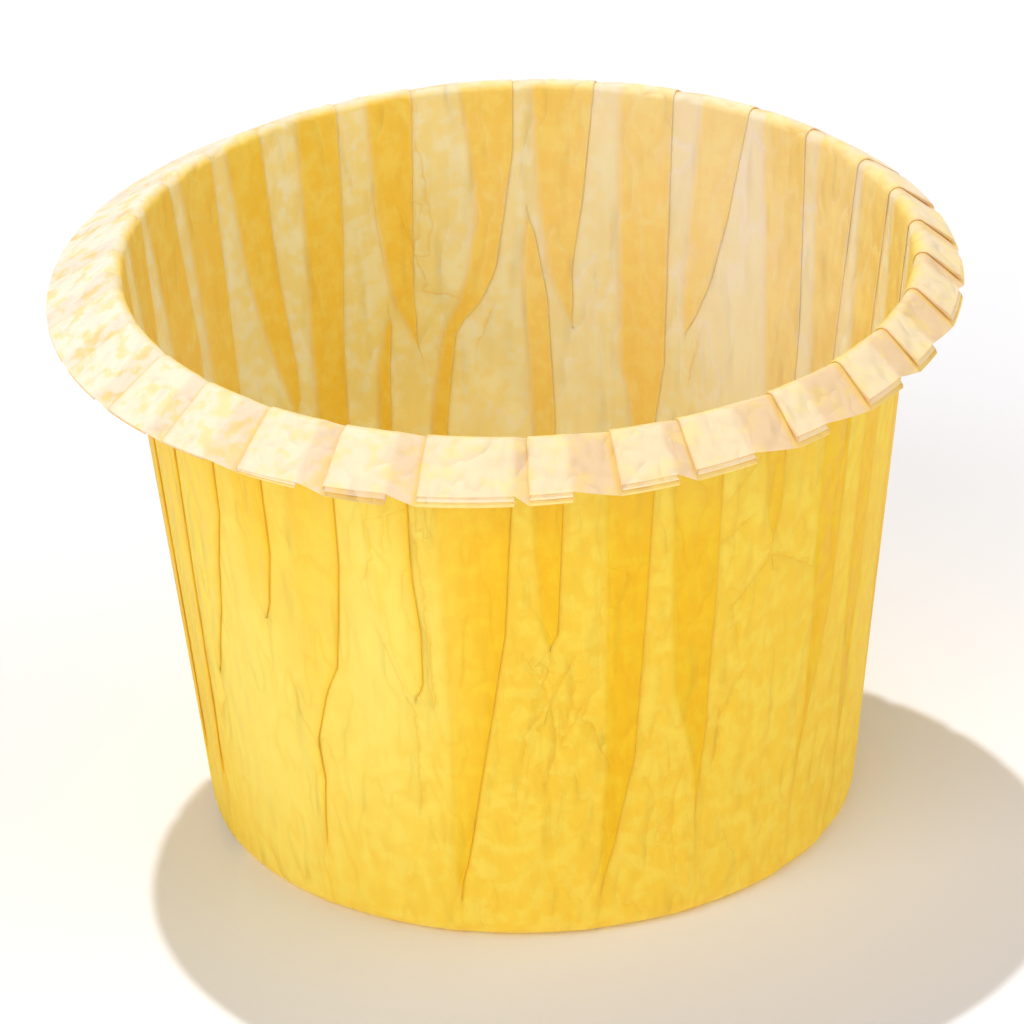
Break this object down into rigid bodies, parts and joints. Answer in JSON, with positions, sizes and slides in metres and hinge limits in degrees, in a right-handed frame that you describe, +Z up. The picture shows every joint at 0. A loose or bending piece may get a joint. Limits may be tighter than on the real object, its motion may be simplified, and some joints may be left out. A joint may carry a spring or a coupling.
{
  "type": "cupcake liner",
  "caption": "Pleated paper baking cup with a flat base, a flared wall and a turned-out rim, which holds the batter of a small cake while it bakes.",
  "frame": {"origin": "centre of the underside of the flat base", "axes": "+Z up out of the mouth of the cup, -Y to the front of the picture, +X to its right"},
  "size_m": [0.0706, 0.0706, 0.0463],
  "materials": {
    "greaseproof_paper": "matt yellow greaseproof paper, paler where it turns out at the rim"
  },
  "bodies": {
    "root": {"paper_cup": "greaseproof_paper"}
  },
  "joints": []
}
